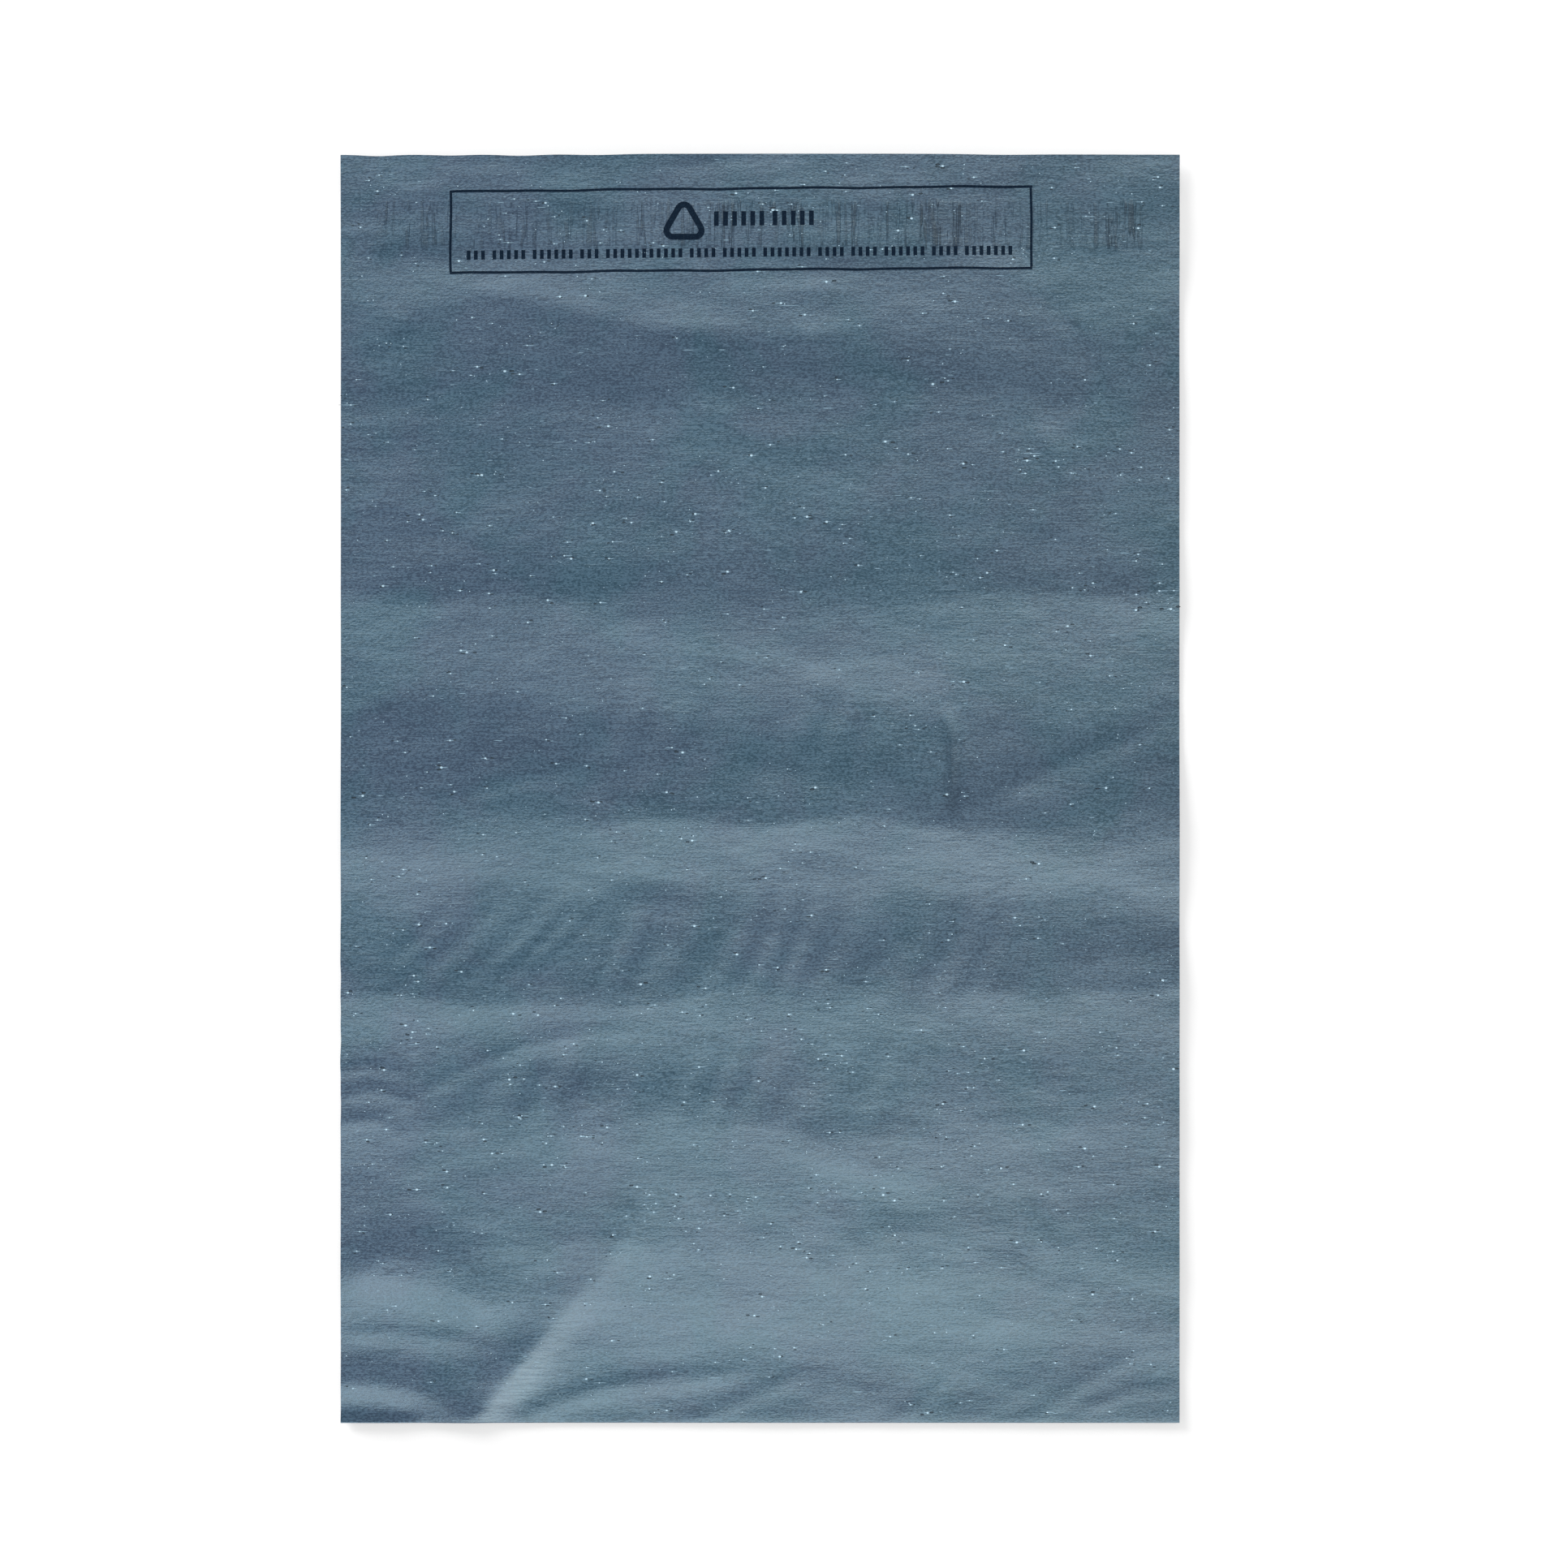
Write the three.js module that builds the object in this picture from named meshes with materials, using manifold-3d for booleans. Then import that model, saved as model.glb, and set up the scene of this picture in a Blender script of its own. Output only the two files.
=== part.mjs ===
// An empty grey polyethylene mailing bag. It lies on its front panel, with the back panel up.
//
// The bag is one web of blown film. It is folded once, across the bottom, and its two layers are
// welded together down both sides. That leaves a pouch with its mouth at the far end, on the
// underside, because the back panel runs on past the mouth as the closing flap. Under the flap is
// a line of hot-melt adhesive, and a peel-off liner covers it.
//
// A little air keeps the two layers apart, so the back panel is a low crown: level in the middle,
// and coming down to the welds at both sides and to the fold at the bottom.
//
// Millimetres. X runs across the bag, Y from the bottom fold to the flap's cut edge, Z up. The
// origin is under the middle of the bag, on the surface that it lies on.

import * as THREE from "three";
import { mergeVertices } from "three/addons/utils/BufferGeometryUtils.js";
import Module from "manifold-3d";

// ---- The bag ----
const WIDTH = 305; // cut edge to cut edge, 12 inches
const POUCH_DEPTH = 406; // bottom fold to mouth, 16 inches
const FLAP_DEPTH = 55; // mouth to the flap's cut edge
const FILM = 0.06; // one layer of film
const WELD = 6; // width of the welded band down each side

// ---- The crown that the trapped air holds up ----
const LOFT = 7; // height of the hollow under the level part
const LEVEL_HALF_WIDTH = 60; // the level part's reach each side of the middle
const RISE_LENGTH = 110; // the hollow opens to its full height this far from the fold
const FOLD_GAP = 0.8; // height of the hollow just inside the bottom fold

// ---- The closure ----
const ADHESIVE = 0.05; // thickness of the hot-melt line
const LINER = 0.06; // thickness of the peel-off liner
const ADHESIVE_WIDTH = 16; // along Y
const ADHESIVE_INSET = 17.5; // from the flap's cut edge to the adhesive
const ADHESIVE_END_GAP = 16.5; // the adhesive stops this far short of each side
const LINER_OVERLAP = 2; // the liner shows past the adhesive on both of its long sides

// ---- Places that follow from those sizes ----
const HALF_WIDTH = WIDTH / 2;
const WELD_EDGE = HALF_WIDTH - WELD; // the inner edge of each weld
const LENGTH = POUCH_DEPTH + FLAP_DEPTH;
const FOLD_Y = -LENGTH / 2;
const FLAP_EDGE_Y = LENGTH / 2;
const MOUTH_Y = FOLD_Y + POUCH_DEPTH;
const ADHESIVE_END_X = HALF_WIDTH - ADHESIVE_END_GAP;
const ADHESIVE_HIGH_Y = FLAP_EDGE_Y - ADHESIVE_INSET;
const ADHESIVE_LOW_Y = ADHESIVE_HIGH_Y - ADHESIVE_WIDTH;
const FLAP_LIFT = ADHESIVE + LINER - FILM; // the flap's sides lie on the liner, and not on the front panel
const LIFT_LENGTH = 12; // the flap rises by that much over this length past the mouth

// How fine the curved parts are.
const SIDE_STEPS = 9;
const RISE_STEPS = 12;
const NOSE_STEPS = 4;
const CUT_MARGIN = 5; // the cutting solids reach this far past the bag
const CUT_OVERLAP = 1; // the hollow's solid runs this far past the mouth
const MERGE_WITHIN = 1e-4; // corners closer together than this are one corner

const smoothstep = (t) => THREE.MathUtils.smoothstep(t, 0, 1);
const lerp = THREE.MathUtils.lerp;

// The crown's share of its full height across the bag: 1 in the middle, 0 at the welds.
function crownAcross(x) {
  return smoothstep((WELD_EDGE - Math.abs(x)) / (WELD_EDGE - LEVEL_HALF_WIDTH));
}

// Height of the hollow between the two layers.
function hollow(x, y) {
  const rise = smoothstep((y - FOLD_Y) / RISE_LENGTH);
  return crownAcross(x) * lerp(FOLD_GAP, LOFT, rise);
}

// Height of the back layer's inner face.
function backInner(x, y) {
  const lift = FLAP_LIFT * THREE.MathUtils.clamp((y - MOUTH_Y) / LIFT_LENGTH, 0, 1);
  return FILM + hollow(x, y) + lift;
}

const backOuter = (x, y) => backInner(x, y) + FILM;

// Places across the bag, from -halfWidth to halfWidth, where the crown's facets meet. Every solid
// uses the same places, so faces that touch have the same facets.
function acrossStations(halfWidth) {
  const right = [0, LEVEL_HALF_WIDTH / 2];
  for (let i = 0; i <= SIDE_STEPS; i++) {
    right.push(lerp(LEVEL_HALF_WIDTH, WELD_EDGE, i / SIDE_STEPS));
  }
  right.push(ADHESIVE_END_X, HALF_WIDTH, HALF_WIDTH + CUT_MARGIN);
  const used = [...new Set(right)].filter((x) => x <= halfWidth).sort((a, b) => a - b);
  return [...used.slice(1).reverse().map((x) => -x), ...used];
}

// Places along the bag from the end of the fold's round nose to the mouth.
function pouchStations() {
  const places = [];
  for (let i = 1; i <= RISE_STEPS; i++) places.push(FOLD_Y + (RISE_LENGTH * i) / RISE_STEPS);
  return [...places, MOUTH_Y];
}

const flapStations = () => [MOUTH_Y + LIFT_LENGTH, FLAP_EDGE_Y];

// A closed solid on a grid of places. BoxGeometry gives the grid, and each of its corners is moved
// to place(x, j, isTop), where j counts the rows along Y.
function gridSolid(xs, rows, place) {
  const box = new THREE.BoxGeometry(1, 1, 1, xs.length - 1, rows - 1, 1);
  const corners = box.getAttribute("position");
  const point = new THREE.Vector3();
  for (let n = 0; n < corners.count; n++) {
    point.fromBufferAttribute(corners, n);
    const i = Math.round((point.x + 0.5) * (xs.length - 1));
    const j = Math.round((point.y + 0.5) * (rows - 1));
    corners.setXYZ(n, ...place(xs[i], j, point.z > 0));
  }
  return box;
}

// A solid between two heights over straight rows.
function layer(xs, ys, bottom, top) {
  return gridSolid(xs, ys.length, (x, j, isTop) => [x, ys[j], (isTop ? top : bottom)(x, ys[j])]);
}

// A pouch-shaped solid whose end at the fold is a half-round nose. wall is how far it stays inside
// the bag's outer face: 0 for the outside of the bag, and FILM for the hollow.
function pouchSolid(xs, ys, wall, top) {
  const place = (x, j, isTop) => {
    const radius = FILM + hollow(x, FOLD_Y) / 2 - wall;
    if (j <= NOSE_STEPS) {
      const angle = (j / NOSE_STEPS) * (Math.PI / 2);
      const y = FOLD_Y + wall + radius * (1 - Math.cos(angle));
      const half = radius * Math.sin(angle) * (isTop ? 1 : -1);
      return [x, y, wall + radius + half];
    }
    const y = ys[j - NOSE_STEPS - 1];
    return [x, y, isTop ? top(x, y) : wall];
  };
  return gridSolid(xs, NOSE_STEPS + 1 + ys.length, place);
}

// ---- Booleans ----
const wasm = await Module();
wasm.setup();

// The geometry as a manifold-3d solid. Corners that fall on one point are one vertex, and the
// triangles that this leaves without area are dropped.
function solidFrom(geometry) {
  const bare = geometry.clone();
  bare.deleteAttribute("normal");
  bare.deleteAttribute("uv");
  const merged = mergeVertices(bare, MERGE_WITHIN);
  const index = merged.index.array;
  const kept = [];
  for (let n = 0; n < index.length; n += 3) {
    const [a, b, c] = index.slice(n, n + 3);
    if (a !== b && b !== c && c !== a) kept.push(a, b, c);
  }
  return new wasm.Manifold(
    new wasm.Mesh({
      numProp: 3,
      vertProperties: merged.getAttribute("position").array,
      triVerts: new Uint32Array(kept),
    }),
  );
}

function geometryFrom(solid) {
  const mesh = solid.getMesh();
  const geometry = new THREE.BufferGeometry();
  geometry.setAttribute("position", new THREE.BufferAttribute(mesh.vertProperties, 3));
  geometry.setIndex(new THREE.BufferAttribute(mesh.triVerts, 1));
  geometry.computeVertexNormals();
  return geometry;
}

// ---- The film: its outer form, less the hollow and less the space under the flap ----
function filmGeometry() {
  const outer = pouchSolid(
    acrossStations(HALF_WIDTH),
    [...pouchStations(), ...flapStations()],
    0,
    backOuter,
  );

  // Past the mouth the hollow's solid shrinks into the space under the flap, which it joins there.
  const pastMouth = MOUTH_Y + CUT_OVERLAP;
  const inner = pouchSolid(
    acrossStations(WELD_EDGE),
    [...pouchStations(), pastMouth],
    FILM,
    (x, y) => (y < pastMouth ? backInner(x, y) : FILM + hollow(x, y) / 2),
  );

  const underFlap = layer(
    acrossStations(HALF_WIDTH + CUT_MARGIN),
    [MOUTH_Y, ...flapStations(), FLAP_EDGE_Y + CUT_MARGIN],
    () => -CUT_MARGIN,
    backInner,
  );

  return geometryFrom(
    solidFrom(outer).subtract(solidFrom(inner)).subtract(solidFrom(underFlap)),
  );
}

// ---- The closure's two strips, one under the other, which follow the flap's inner face ----
function adhesiveGeometry() {
  return layer(
    acrossStations(ADHESIVE_END_X),
    [ADHESIVE_LOW_Y, ADHESIVE_HIGH_Y],
    (x, y) => backInner(x, y) - ADHESIVE,
    backInner,
  );
}

function linerGeometry() {
  return layer(
    acrossStations(HALF_WIDTH),
    [ADHESIVE_LOW_Y - LINER_OVERLAP, ADHESIVE_HIGH_Y + LINER_OVERLAP],
    (x, y) => backInner(x, y) - ADHESIVE - LINER,
    (x, y) => backInner(x, y) - ADHESIVE,
  );
}

// ---- Materials ----
const greyFilm = new THREE.MeshStandardMaterial({
  color: 0x5c7182,
  roughness: 0.42,
  metalness: 0,
});
const hotMelt = new THREE.MeshStandardMaterial({
  color: 0xd9d2b4,
  roughness: 0.3,
  metalness: 0,
});
const siliconedLiner = new THREE.MeshStandardMaterial({
  color: 0xe6e8e6,
  roughness: 0.38,
  metalness: 0,
});

function piece(name, geometry, material) {
  const mesh = new THREE.Mesh(geometry, material);
  mesh.name = name;
  return mesh;
}

const mailingBag = new THREE.Group();
mailingBag.add(
  piece("film_bag", filmGeometry(), greyFilm),
  piece("adhesive_strip", adhesiveGeometry(), hotMelt),
  piece("release_liner", linerGeometry(), siliconedLiner),
);

export default mailingBag;
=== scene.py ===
# %% [markdown]
# # An empty grey mailing bag, lying flat
#
# A polyethylene mailing bag is one long web of thin blown film. It is folded once across the
# bottom, and its two layers are welded together down both sides. The back layer is longer than
# the front one, so it runs on past the mouth as a flap. Under the flap is a line of hot-melt
# adhesive with a peel-off liner over it.
#
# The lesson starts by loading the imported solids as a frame. Everything after it is made in the
# same place and at the same size.

# %% Load the frame
import math

import bpy
import numpy as np
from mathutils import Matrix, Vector


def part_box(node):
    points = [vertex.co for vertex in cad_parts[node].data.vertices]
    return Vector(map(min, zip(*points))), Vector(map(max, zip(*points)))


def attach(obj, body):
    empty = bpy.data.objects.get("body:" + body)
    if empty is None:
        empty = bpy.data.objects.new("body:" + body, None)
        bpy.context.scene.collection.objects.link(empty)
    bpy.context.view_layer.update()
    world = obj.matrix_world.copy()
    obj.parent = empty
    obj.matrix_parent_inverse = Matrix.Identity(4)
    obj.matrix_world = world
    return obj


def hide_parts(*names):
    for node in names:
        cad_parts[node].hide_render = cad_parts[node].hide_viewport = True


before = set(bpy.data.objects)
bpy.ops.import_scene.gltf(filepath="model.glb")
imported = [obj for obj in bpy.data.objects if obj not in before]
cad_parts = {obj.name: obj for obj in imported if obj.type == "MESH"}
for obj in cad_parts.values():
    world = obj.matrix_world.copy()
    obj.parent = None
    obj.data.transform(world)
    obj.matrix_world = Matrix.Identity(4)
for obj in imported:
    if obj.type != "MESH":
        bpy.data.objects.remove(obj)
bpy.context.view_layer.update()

MM = 0.001
ROOT = "root"  # the bag has no joints, so everything rides on one body

# %% [markdown]
# ## The view
#
# A bag like this is shown from straight above, with its printed back panel towards the eye. A
# long lens keeps its edges parallel. A camera with no perspective would too, but it would see all
# of the bag at one angle, and the sheen would not change across it. The eye is a little to the
# right of the bag's middle.

# %% Place the camera
EYE_HEIGHT = 3.0
EYE_X, EYE_Y = 0.0087, 0.0018
VIEW_WIDTH = 0.5705  # metres of table from side to side of the view
SENSOR = 36  # its width in millimetres
FARTHEST = 20  # how far the eye sees, in metres

camera_data = bpy.data.cameras.new("eye")
camera_data.sensor_width = SENSOR
camera_data.lens = SENSOR * EYE_HEIGHT / VIEW_WIDTH
camera_data.clip_end = FARTHEST
camera = bpy.data.objects.new("eye", camera_data)
camera.location = (EYE_X, EYE_Y, EYE_HEIGHT)
bpy.context.scene.collection.objects.link(camera)
bpy.context.scene.camera = camera
print(f"lens {camera_data.lens:.0f} mm, {EYE_HEIGHT} m above the bag")

# %% [markdown]
# ## The sizes
#
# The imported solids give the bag's sizes, so the film is drawn to them and not to numbers typed
# in twice. All lengths in the shape functions are in millimetres, because film, welds and print
# are spoken of in millimetres. Meshes are made in metres.

# %% Read the sizes
film_low, film_high = (np.array(corner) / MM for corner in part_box("film_bag"))
glue_low, glue_high = (np.array(corner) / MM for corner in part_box("adhesive_strip"))
liner_low, liner_high = (np.array(corner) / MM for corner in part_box("release_liner"))

HALF_WIDTH = film_high[0]
FOLD_Y = film_low[1]
FLAP_EDGE_Y = film_high[1]
FLAP_DEPTH = 55  # from the mouth to the flap's cut edge
MOUTH_Y = FLAP_EDGE_Y - FLAP_DEPTH
FILM = 0.06  # one layer of film
WELD = 6  # width of the welded band down each side
WELD_EDGE = HALF_WIDTH - WELD
GLUE = 0.05  # thickness of the adhesive
LINER = 0.06  # thickness of the peel-off liner
print(f"film {2 * HALF_WIDTH:.0f} x {FLAP_EDGE_Y - FOLD_Y:.0f} mm, {film_high[2]:.1f} mm high")

# %% [markdown]
# ## Surfaces from functions
#
# Every new piece here is a surface: a function of two parameters, worked out for a whole grid at
# once. `closed_sheet` takes the outer grid and the inner grid of a thin sheet and closes it with
# a rim, so the sheet is a solid with a real thickness, however thin.

# %% Make meshes from grids


def make_piece(name, points, faces, smooth_below=50):
    """A mesh object from points in mm and a list of faces. Edges sharper than smooth_below degrees
    stay crisp."""
    mesh = bpy.data.meshes.new(name)
    mesh.from_pydata((points * MM).tolist(), [], faces)
    mesh.polygons.foreach_set("use_smooth", np.ones(len(mesh.polygons), dtype=bool))
    mesh.set_sharp_from_angle(angle=math.radians(smooth_below))
    mesh.update()
    piece = bpy.data.objects.new(name, mesh)
    bpy.context.scene.collection.objects.link(piece)
    return piece


def grid_faces(rows, columns, start=0):
    """Four-sided faces of a grid. Its point (row, column) is number start + row * columns + column."""
    corner = start + np.arange(rows - 1)[:, None] * columns + np.arange(columns - 1)[None, :]
    return np.stack([corner, corner + 1, corner + columns + 1, corner + columns], -1).reshape(-1, 4)


def grid_rim(rows, columns):
    """Numbers of the points round the edge of a grid, in the order that its faces turn."""
    index = np.arange(rows * columns).reshape(rows, columns)
    return np.concatenate([index[0, :-1], index[:-1, -1], index[-1, :0:-1], index[:0:-1, 0]])


def closed_sheet(outer, inner, start=0):
    """Points and faces of one thin solid between two grids of the same shape: the outer grid, the
    inner grid with its faces turned over, and a strip of faces that joins their rims. Its points
    are numbered from start."""
    rows, columns = outer.shape[:2]
    count = rows * columns
    rim = start + grid_rim(rows, columns)
    after = np.roll(rim, -1)
    faces = np.concatenate([
        grid_faces(rows, columns, start),
        grid_faces(rows, columns, start + count)[:, ::-1],
        np.stack([after, rim, rim + count, after + count], -1),
    ])
    return np.concatenate([outer.reshape(-1, 3), inner.reshape(-1, 3)]), faces


def sheets_piece(name, sheets):
    """One piece from a list of thin solids, each given as its outer and its inner grid."""
    points, faces, count = [], [], 0
    for outer, inner in sheets:
        sheet_points, sheet_faces = closed_sheet(outer, inner, count)
        points.append(sheet_points)
        faces.append(sheet_faces)
        count += len(sheet_points)
    return make_piece(name, np.concatenate(points), np.concatenate(faces).tolist())


def grid_normals(grid):
    """Unit normals of a grid: the cross product of its slopes along columns and along rows."""
    along = np.gradient(grid, axis=1)
    down = np.gradient(grid, axis=0)
    normals = np.cross(along, down)
    return normals / np.linalg.norm(normals, axis=2, keepdims=True)


# %% [markdown]
# ## How the film lies
#
# Film that has been rolled, cut, stacked and unpacked never lies flat again. Trapped air lifts
# the back panel into a low crown. Broad rolls cross it from side to side. Between the rolls are
# small slanted ripples, and all over it are low uneven hills. Here and there is the line of an old
# fold, and at the bottom left are creases with a sharp crest.
#
# A cloth simulation could make rolls like these, but not in chosen places. So all of this is one
# height above the table, a sum of simple parts. One height also keeps the layers apart: the front
# panel lies on the table in the middle, and near the welds and the bottom fold it goes up and down
# with the back panel.

# %% Describe the crown and the rolls
CROWN = 4.4  # rise of the crown above the welds
LEVEL_HALF_WIDTH = 40  # the crown is level this far to each side of the middle
RISE_LENGTH = 125  # and it reaches its full height this far from the bottom fold
EDGE_LIFT = 1.15  # mean height of the welds above the table
RIGHT_LIFT = 0.55  # the right weld is this much higher than the mean, and the left this much lower

# The rolls' turning points, from the bottom fold to the flap's edge: where each crest and each
# trough crosses the bag, and its height above the crown.
TURNS = (
    (-231, 0.45),
    (-217, 0.03),
    (-169, 1.27),
    (-145, 0.82),
    (-121, 1.22),
    (-96, 0.65),
    (-75, 1.6),
    (-43, 0.35),
    (-13, 2.05),
    (32, -0.5),
    (69, 1.04),
    (92, 0.22),
    (118, 0.33),
    (140, 0.52),
    (166, -0.4),
    (195, 0.95),
    (209, 1.35),
    (231, 2.2),
)
CREST_WANDER = 3.0
TROUGH_WANDER = 3.4
# The waves of a turning line: the length of one radian, the share, and the shift from one turning
# line to the next.
WANDER_WAVES = ((58, 1.0, 1.1), (23, 0.6, 2.3), (9.5, 0.4, 3.7))
SHARPEST = 0.6  # 0 for round crests, 1 for crests like a crease
# The share of the sharpness and of a roll's height that comes and goes across the bag, and the
# length of one radian of each wave.
SHARPNESS_VARIES, SHARPNESS_WAVE = 0.45, 43
HEIGHT_VARIES, HEIGHT_WAVE = 0.16, 61


def smooth_step(t):
    """0 below 0, 1 above 1, and 3t^2 - 2t^3 between."""
    t = np.clip(t, 0, 1)
    return t * t * (3 - 2 * t)


def bump(distance, reach):
    """A bell: e to the power -(distance / reach)^2 / 2."""
    return np.exp(-0.5 * (distance / reach) ** 2)


def climb(t, sharpness):
    """From a trough at 0 to a crest at 1: a smooth step mixed with t^2, which is still steep
    where it meets the crest."""
    t = np.clip(t, 0, 1)
    return sharpness * t * t + (1 - sharpness) * smooth_step(t)


def cloud(x, y, cell_x, cell_y, seed):
    """Soft hills from -1 to 1: a random number at each corner of a lattice of cells, and inside
    each cell a blend of its four corners by smooth steps."""
    reach = 300
    u, v = (x + reach) / cell_x, (y + reach) / cell_y
    i, j = np.floor(u).astype(int), np.floor(v).astype(int)
    s, t = smooth_step(u - i), smooth_step(v - j)
    corners = (int(2 * reach / cell_x) + 2, int(2 * reach / cell_y) + 2)
    values = np.random.default_rng(seed).uniform(-1, 1, corners)
    near = values[i, j] * (1 - s) + values[i + 1, j] * s
    far = values[i, j + 1] * (1 - s) + values[i + 1, j + 1] * s
    return near * (1 - t) + far * t


def crown(x, y):
    """The crown: a smooth step in from each weld, times a smooth step up from the bottom fold."""
    across = smooth_step((WELD_EDGE - np.abs(x)) / (WELD_EDGE - LEVEL_HALF_WIDTH))
    along = smooth_step((y - FOLD_Y) / RISE_LENGTH)
    return CROWN * across * along


def turning_line(x, number, wander):
    """How far a turning line strays along the bag: a sum of slow waves of x."""
    return wander * sum(
        share * np.sin(x / length + shift * number) for length, share, shift in WANDER_WAVES
    )


def rolls(x, y):
    """From each turning line to the next, a climb to the crest or down from it. A roll's height
    and the sharpness of its crest change across the bag."""
    height = np.full_like(x, TURNS[0][1])
    for number, ((y0, h0), (y1, h1)) in enumerate(zip(TURNS[:-1], TURNS[1:])):
        rising = h1 > h0
        low, high = (TROUGH_WANDER, CREST_WANDER) if rising else (CREST_WANDER, TROUGH_WANDER)
        start = y0 + turning_line(x, number, low)
        end = y1 + turning_line(x, number + 1, high)
        share = (y - start) / (end - start)
        change = SHARPNESS_VARIES * (np.sin(x / SHARPNESS_WAVE + 1.7 * (number + rising)) - 1)
        sharpness = SHARPEST * (1 + change)
        step = climb(share, sharpness) if rising else 1 - climb(1 - share, sharpness)
        height += (h1 - h0) * (1 + HEIGHT_VARIES * np.sin(x / HEIGHT_WAVE + 2.1 * number)) * step
    return height


# %% [markdown]
# Ripples lie in bands, so each band is one wave. Old folds are all different, so each is drawn as a
# ridge along its own curve. A crease is a fold with a sharper crest.

# %% Describe the ripples and the old folds
# Each band of ripples: its middle, its half-width, the first and last x, the spacing, the lean
# (how far x moves for each mm of y) and the height.
RIPPLE_FADE = 14  # a band's ripples fade in and out over this length
RIPPLE_BELL = 0.6  # reach of the bell about a band's middle, as a share of its half-width
RIPPLES = (
    (-56, 15, -138, -62, 13, 1.00, 0.15),
    (-57, 18, -62, 96, 18, 0.32, 0.28),
    (14, 20, -120, 84, 23, 0.28, 0.18),
    (-108, 15, -126, 60, 20, 0.25, 0.18),
    (-160, 14, -60, 128, 22, -0.35, 0.16),
)

# Each fold: the points that it passes through, its height (below zero for a groove), and its reach
# to the left and to the right of someone who walks along it.
FOLDS = (
    # near the mouth and the flap
    (((-126, 187), (-84, 177), (-40, 168), (10, 165), (52, 168)), -0.32, (5.6, 3.8)),
    (((-16, 187), (5, 185.5), (30, 187)), 0.16, (2.6, 2.6)),
    (((-30, 226), (-8, 229), (22, 231)), 0.30, (2.5, 2.5)),
    (((106, 176), (118, 160), (126, 140)), 0.26, (2.6, 3.4)),
    (((100, 134), (108, 120), (113, 104)), -0.26, (3.2, 3.2)),
    (((-160, 156), (-146, 164), (-128, 170)), -0.70, (4.0, 3.0)),
    (((17, 166), (21, 157), (25, 146)), -0.34, (3.0, 3.0)),
    (((18, 94), (21, 86), (23, 77)), -0.34, (2.6, 2.6)),
    # across the middle
    (((69, 27), (71, 11), (69, -9)), -1.15, (2.5, 2.5)),
    (((82, -4), (113, 10), (146, 21)), 0.42, (3.6, 5.0)),
    (((-120, -7), (-88, 3), (-62, 8)), 0.22, (3.0, 3.0)),
    # the left weld
    (((-152, -103), (-142, -101), (-131, -104)), 0.42, (2.2, 2.2)),
    (((-152, -112), (-138, -110), (-128, -114)), 0.36, (2.2, 2.2)),
    (((-152, -122), (-140, -121), (-130, -126)), 0.30, (2.2, 2.2)),
    (((-136, -119), (-108, -103), (-84, -93), (-44, -88)), 0.26, (2.6, 2.6)),
    (((-124, -96), (-120, -118), (-110, -134)), -0.24, (3.2, 2.4)),
    # the bottom left corner
    (((-160, -177), (-132, -177), (-110, -182), (-92, -192)), 1.5, (16.0, 8.0)),
    (((-152, -199), (-125, -199), (-98, -204)), 0.34, (2.6, 2.6)),
    (((-164, -217), (-134, -218), (-104, -229)), 1.25, (8.5, 4.4)),
    (((-180, -232), (-152, -232), (-124, -232)), 2.3, (2.4, 2.4)),
    # the bottom fold
    (((-98, -236), (-70, -222), (-40, -216), (-2, -212)), 0.60, (4.0, 4.0)),
    (((-30, -232), (-2, -221), (18, -212)), 0.30, (2.8, 2.8)),
    (((44, -231), (60, -222), (70, -210)), 0.22, (2.6, 2.6)),
    (((4, -205), (70, -206), (137, -205)), 0.08, (1.5, 1.5)),
    (((118, -226), (134, -220), (152, -219)), 0.30, (2.6, 2.6)),
    (((96, -231), (122, -214), (140, -204)), 0.26, (3.0, 3.0)),
)
# Creases are folds with a sharp crest, in the same form.
CREASES = (
    (((-139, -272), (-106, -231), (-79, -199), (-64, -182), (-40, -143)), 0.9, (15.0, 8.0)),
    (((-150, -285), (-106, -231), (-79, -199), (-70, -189)), 1.5, (13.0, 8.0)),
    (((-180, -231), (-152, -229), (-124, -232)), 0.8, (2.6, 3.0)),
)
FADE_PAST = 6.0  # a fold fades out over about this far past its ends
ROUND_CREST, SHARP_CREST = 2, 1.4  # the powers of distance in a fold's and in a crease's bell

# The uneven hills: their length across the bag, their depth along it, their height and their seed.
HILLS = ((31, 14, 0.22, 5), (17, 8.5, 0.12, 6), (9, 5.5, 0.05, 7))
HILL_SLANT = 0.4  # how far the hills' x moves for each mm of y
HILL_BEND, HILL_BEND_WAVE = 4, 37


def ripples(x, y):
    """In each band, a wave across the lean of the ripples, times a fade at each end and a bell
    about the band's middle. Two slower waves make the spacing uneven."""
    height = np.zeros_like(x)
    for middle, half, first, last, spacing, lean, rise in RIPPLES:
        across = x - lean * (y - middle)
        stray = 1.6 * np.sin(across / 29) + 1.5 * np.sin(across / 11 + spacing)
        wave = np.sin(2 * math.pi * (across - first) / spacing + stray + 0.4 * np.sin(y / 7))
        fade = smooth_step((across - first) / RIPPLE_FADE) * smooth_step((last - across) / RIPPLE_FADE)
        height += rise * wave * fade * bump(y - middle, half * RIPPLE_BELL)
    return height


def uneven(x, y):
    """The sum of soft hills of three sizes, all longer across the bag than along it, a little
    slanted and a little bent."""
    bend = HILL_BEND * np.sin(x / HILL_BEND_WAVE)
    return sum(
        rise * cloud(x + HILL_SLANT * y, y + bend, long, shadow_size, seed)
        for long, shadow_size, rise, seed in HILLS
    )


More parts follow.
